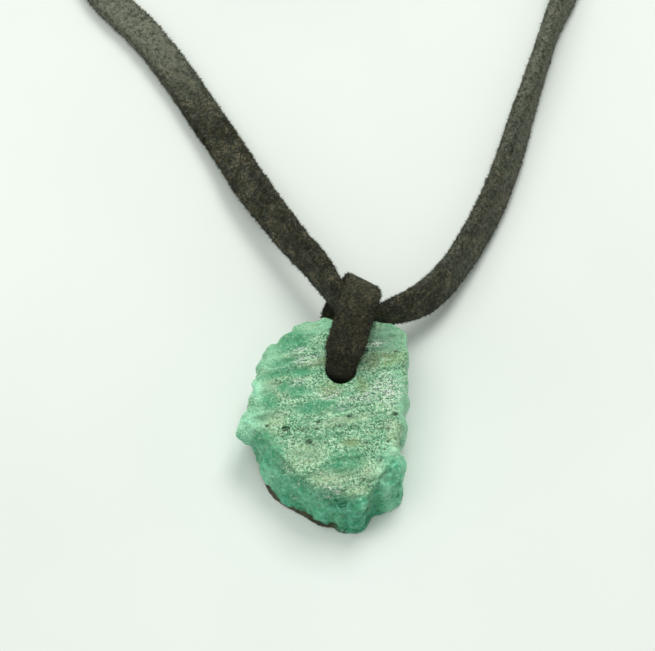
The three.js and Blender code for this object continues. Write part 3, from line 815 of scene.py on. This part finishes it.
def headings(line, closed=True):
    """Which way a line runs at each of its points."""
    if closed:
        return unit(np.roll(line, -1, axis=0) - np.roll(line, 1, axis=0))
    return unit(np.gradient(line, axis=0))


def lace_section():
    """Points round a lace's section, as shares of its half-width and half-thickness, and which are edges."""
    half = np.array((LACE_WIDTH, LACE_THICK)) / 2
    inner = half - LACE_CORNER
    points = []
    for turn, (sx, sy) in enumerate(((1, 1), (-1, 1), (-1, -1), (1, -1))):
        for step in range(CORNER_STEPS + 1):
            angle = QUARTER_TURN * (turn + step / CORNER_STEPS)
            points.append((sx * inner[0] + LACE_CORNER * math.cos(angle),
                           sy * inner[1] + LACE_CORNER * math.sin(angle)))
        if turn in (0, 2):
            for share in FLAT_SHARES:
                points.append((sx * inner[0] * (1 - 2 * share), sy * half[1]))
    points = np.array(points) / half
    return points, np.abs(points[:, 0]) > EDGE_FROM


SECTION, ON_EDGE = lace_section()


def swept(line, wide, thin, ripple, seed, closed=True):
    """Rings of points along a line. wide and thin are the half-width and half-thickness at each ring."""
    rng = np.random.default_rng(seed)
    rough = rng.normal(0, ripple, (len(line), len(SECTION)))
    if closed:
        rough = (np.roll(rough, 1, 0) + 2 * rough + np.roll(rough, -1, 0)) / 4
    out_wide = SECTION[None, :, :1] * (1 + rough[:, :, None] * ON_EDGE[None, :, None])
    out_thin = SECTION[None, :, 1:] * (1 + rough[:, :, None] * FLAT_RIPPLE)
    rings = line[:, None, :] + wide[:, None, :] * out_wide + thin[:, None, :] * out_thin
    rings[:, :, 2] = np.maximum(rings[:, :, 2], TABLE_GAP)
    return rings


def skin(rings, closed=True):
    """Vertices and faces over the rings, with flat ends where they don't close on themselves."""
    count, around = rings.shape[:2]
    index = np.arange(count * around).reshape(count, around)
    onward = np.roll(index, -1, 0) if closed else index[1:]
    first = index if closed else index[:-1]
    quads = np.stack([first, np.roll(first, -1, 1), np.roll(onward, -1, 1), onward], axis=-1)
    faces = quads.reshape(-1, 4).tolist()
    if not closed:
        faces += [index[0, ::-1].tolist(), index[-1].tolist()]
    return rings.reshape(-1, 3), faces


def mesh_piece(name, vertices, faces, material, smooth=True):
    """A piece from vertices in millimetres and faces, with its faces turned outwards."""
    mesh = bpy.data.meshes.new(name)
    mesh.from_pydata((np.asarray(vertices) * MM).tolist(), [], faces)
    mesh.materials.append(material)
    mesh.validate()
    piece = bpy.data.objects.new(name, mesh)
    scene.collection.objects.link(piece)
    only(piece)
    bpy.ops.object.mode_set(mode="EDIT")
    bpy.ops.mesh.select_all(action="SELECT")
    bpy.ops.mesh.normals_make_consistent(inside=False)
    bpy.ops.object.mode_set(mode="OBJECT")
    if smooth:
        bpy.ops.object.shade_smooth()
    return piece


def spikes(rings, rows, count, kind, rng):
    """Thin closed spikes that stand on a lace, four corners each."""
    edge_share, stout, edge_length, flat_length = kind
    weights = np.where(ON_EDGE, edge_share / ON_EDGE.sum(), (1 - edge_share) / (~ON_EDGE).sum())
    i = rng.choice(rows, count)
    j = rng.choice(len(SECTION), count, p=weights)
    i2, j2 = (i + 1) % len(rings), (j + 1) % len(SECTION)
    f, g = rng.random((2, count, 1))
    corner = rings[i, j]
    along = rings[i2, j] - corner
    around = rings[i, j2] - corner
    root = corner + along * f + around * g
    out = unit(np.cross(around, along))
    out *= np.sign(np.sum(out * (root - rings[i].mean(axis=1)), axis=1, keepdims=True))
    edge = ON_EDGE[j][:, None]
    stand = out * np.where(edge, STAND_ON_EDGE, STAND_ON_FLAT)
    lean = stand + unit(along) * rng.normal(0, LIE_ALONG, (count, 1))
    way = unit(lean + unit(around) * rng.normal(0, LIE_ROUND, (count, 1)))
    length = np.where(edge, rng.uniform(*edge_length, (count, 1)), rng.uniform(*flat_length, (count, 1)))
    across = unit(np.cross(way, unit(along) + FIBRE_TURN * out))
    other = np.cross(way, across)
    half = rng.uniform(*stout, (count, 1))
    foot = root - out * ROOT_DEPTH
    corners = [foot + (across * a + other * b) * half for a, b in FIBRE_CORNERS]
    made = np.stack([*corners, root + way * length], axis=1)
    return made[made[:, :, 2].min(axis=1) > NAP_LOWEST]


def nap(name, rings, counts, material, seed, choose=None):
    """The suede's nap: short fine fibres all over a lace, and coarser tufts along its cut edges."""
    rng = np.random.default_rng(seed)
    rows = np.arange(len(rings)) if choose is None else np.where(choose)[0]
    made = np.concatenate([
        spikes(rings, rows, count, kind, rng) for count, kind in zip(counts, (FIBRES, TUFTS))
    ])
    faces = (np.arange(len(made))[:, None, None] * 4 + np.array(FIBRE_SIDES)).reshape(-1, 3)
    piece = mesh_piece(name, made.reshape(-1, 3), faces.tolist(), material, smooth=False)
    paint(piece, "strand", np.repeat(rng.random(len(made)), 4))
    return piece


def rise_over_tie(past_tie):
    """How far the coil is lifted, at an angle past the tie."""
    return COIL_LIFT * np.exp(-((past_tie / LIFT_SPREAD) ** 2))


def coil_stops():
    """The coil's turns, from its top turn down to the table."""
    turns = (COIL_TO - COIL_FROM) / 360
    steps = round(turns * COIL_STEPS_PER_TURN)
    stops = []
    for k in range(steps + 1):
        angle = math.radians(COIL_FROM + (COIL_TO - COIL_FROM) * k / steps)
        past_tie = math.remainder(angle - QUARTER_TURN, 2 * math.pi)
        height = COIL_FOOT + LACE_THICK * turns * (1 - k / steps) + rise_over_tie(past_tie)
        radius = COIL_RADIUS + COIL_WOBBLE * math.sin(COIL_WOBBLE_RATE * angle)
        x = COIL_MIDDLE[0] + radius * math.cos(angle)
        y = COIL_MIDDLE[1] + radius * math.sin(angle)
        stops.append((x, y, height, 0))
    return stops


def neck_lace(material):
    """The neck lace, from the bail round its whole length and back to the bail."""
    stops = ROUTE + ON_TO_COIL + coil_stops() + OFF_COIL
    line, length = smooth_loop(stops, LACE_STEP)
    start = np.argmin(np.linalg.norm(line[:, :3] - EYE, axis=1))
    line = np.roll(line, -start, axis=0)
    middle, tilt = line[:, :3], np.radians(line[:, 3:])
    way = headings(middle)
    level = unit(np.cross(UP, way))
    rising = np.cross(way, level)
    wide = level * np.cos(tilt) + rising * np.sin(tilt)
    thin = np.cross(way, wide)
    far = np.linalg.norm(middle - EYE, axis=1, keepdims=True)
    size = 1 - SQUEEZE * np.exp(-((far / SQUEEZE_LENGTH) ** 2))
    run = np.arange(len(line))[:, None] * LACE_STEP
    uneven = 1 + WAVE * np.sin(run * WAVE_RATE + WAVE_DRIFT * np.sin(run * DRIFT_RATE))
    half_wide = wide * size * uneven * LACE_WIDTH / 2
    half_thin = thin * size * LACE_THICK / 2
    rings = swept(middle, half_wide, half_thin, LACE_RIPPLE, seed=11)
    piece = mesh_piece("suede_neck_lace", *skin(rings), material)
    return piece, rings, middle, length


def bail(material):
    """The bail: a loop of lace through the stone's hole, over the neck lace and back behind the stone."""
    loop, _ = smooth_loop([(s, side, z) for s, z, side in BAIL_LOOP], BAIL_STEP)
    onward = np.array((math.sin(BAIL_LEAN), math.cos(BAIL_LEAN), 0))
    aside = np.array((math.cos(BAIL_LEAN), -math.sin(BAIL_LEAN), 0))
    s, side, z = loop.T[:, :, None]
    middle = np.array((*HOLE, 0)) + s * onward + side * aside + z * UP
    way = headings(loop[:, (0, 2)])
    skew = BAIL_SKEW * smooth_step(SKEW_FROM, SKEW_TO, s)
    wide = aside - skew * onward
    thin = UP * way[:, :1] - onward * way[:, 1:]
    width = BAIL_IN_HOLE + (BAIL_WIDTH - BAIL_IN_HOLE) * smooth_step(NARROW_FROM, NARROW_TO, s)
    rings = swept(middle, wide * width / 2, thin * BAIL_THICK / 2, BAIL_RIPPLE, seed=23)
    return mesh_piece("suede_bail", *skin(rings), material), rings


def soft_box(count, half_a, half_b):
    """Points round a box with well rounded corners."""
    angle = np.linspace(0, 2 * math.pi, count, endpoint=False)
    c, s = np.cos(angle), np.sin(angle)
    return np.sign(c) * np.sqrt(np.abs(c)) * half_a, np.sign(s) * np.sqrt(np.abs(s)) * half_b


def tie_loop(name, line, across, thick, material, seed):
    """A closed turn of lace along a line, with its half-width given as a direction."""
    flat = np.broadcast_to(across, line.shape)
    out = np.cross(headings(line), unit(flat))
    rings = swept(line, flat, out * thick / 2, TIE_RIPPLE, seed)
    return mesh_piece(name, *skin(rings), material)


def tie_end(side, centre, top, material):
    """An end of the lace, laid along the top of the coil to one side of the knot."""
    along = np.linspace(0, 1, END_STEPS)[:, None]
    past_tie = -side * along * END_LENGTH / COIL_RADIUS
    angle = QUARTER_TURN + past_tie
    start = top + TIE_TOP_ROOM
    rest = COIL_HEIGHT + rise_over_tie(past_tie) + TIE_TOP_ROOM + TIE_THICK / 2
    height = start + (rest - start) * smooth_step(*END_FALL, along)
    round_coil = [COIL_RADIUS * np.cos(angle), COIL_RADIUS * np.sin(angle), height]
    line = centre + np.concatenate(round_coil, axis=1)
    way = headings(line, closed=False)
    flat = unit(np.cross(UP, way))
    out = np.cross(way, flat)
    rings = swept(line, flat * END_HALF_WIDTH, out * TIE_THICK / 2, TIE_RIPPLE, seed=40 + side, closed=False)
    return mesh_piece("tie_end", *skin(rings, closed=False), material)


def joined(name, parts):
    """The parts as one piece."""
    bpy.ops.object.select_all(action="DESELECT")
    for part in parts:
        part.select_set(True)
    bpy.context.view_layer.objects.active = parts[0]
    bpy.ops.object.join()
    parts[0].name = name
    return parts[0]


def closing_knot(material):
    """The lace's two ends, tied round the coil: a turn round it, a wrap over that and the two ends."""
    centre = np.array((*COIL_MIDDLE, 0))
    middle_height = COIL_LIFT + COIL_HEIGHT / 2
    half_y = LACE_WIDTH / 2 + TIE_SIDE_ROOM + TIE_THICK / 2
    half_z = COIL_HEIGHT / 2 + TIE_TOP_ROOM + TIE_THICK / 2
    top = middle_height + half_z + TIE_THICK / 2

    y, z = soft_box(TIE_STEPS, half_y, half_z)
    line = centre + np.stack([0 * y, COIL_RADIUS + y, middle_height + z], axis=1)
    across = np.array((LACE_WIDTH / 2, 0, 0))
    turn = tie_loop("tie_turn", line, across, TIE_THICK, material, seed=31)
    x, z = soft_box(WRAP_STEPS, *WRAP_HALF)
    line = centre + np.stack([x, COIL_RADIUS + WRAP_SLANT * x, top + WRAP_RISE + z], axis=1)
    wrap = tie_loop("tie_wrap", line, WRAP_ACROSS, WRAP_THICK, material, seed=32)
    ends = [tie_end(side, centre, top, material) for side in (-1, 1)]
    return joined("lace_closing_knot", [turn, wrap, *ends])


def painted_sheen_along(y, rises):
    """How much painted sheen lies on a lace's arm along its length."""
    return sum(smooth_step(start, end, y) * share for start, end, share in rises)


def tone_suede(piece, on_bail):
    """Where a suede piece has painted sheen, is worn, or has painted shade, for its material to read."""
    co, _ = places(piece)
    x, y, z = co.T
    painted_sheen = np.where(x < ARMS_PART, painted_sheen_along(y, LEFT_SHEEN), painted_sheen_along(y, RIGHT_SHEEN))
    painted_sheen = painted_sheen * smooth_step(*SHEEN_END, y)
    painted_shade = np.maximum(smooth_step(*SHADE_TO_HOLE, y) * SHADE_SHARE, smooth_step(*SHADE_LOW, z))
    paint(piece, "painted_sheen", painted_sheen * (1 - on_bail))
    paint(piece, "worn", np.full(len(co), on_bail))
    paint(piece, "painted_shade", painted_shade * on_bail)


set_camera()
lay_table()
light_table()
specks = specks_group()
suede_brown = suede(specks)

lace, lace_rings, lace_middle, lace_length = neck_lace(suede_brown)
by_pendant = lace_middle[:, 1] < COIL_NAP_FROM
lace_nap = nap("neck_lace_nap", lace_rings, LACE_NAP, suede_brown, seed=51, choose=by_pendant)
coil_nap = nap("lace_coil_nap", lace_rings, COIL_NAP, suede_brown, seed=52, choose=~by_pendant)
bail_loop, bail_rings = bail(suede_brown)
bail_nap = nap("bail_nap", bail_rings, BAIL_NAP, suede_brown, seed=53)
knot = closing_knot(suede_brown)
stone = raw_emerald(emerald_rough(specks))

for piece in (lace, lace_nap, coil_nap, bail_loop, bail_nap, knot):
    tone_suede(piece, on_bail=float(piece in (bail_loop, bail_nap)))
    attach(piece, "root")
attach(stone, "root")
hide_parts("emerald")
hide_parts("bail")
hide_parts("neck_lace", "lace_coil")
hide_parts("closing_knot")
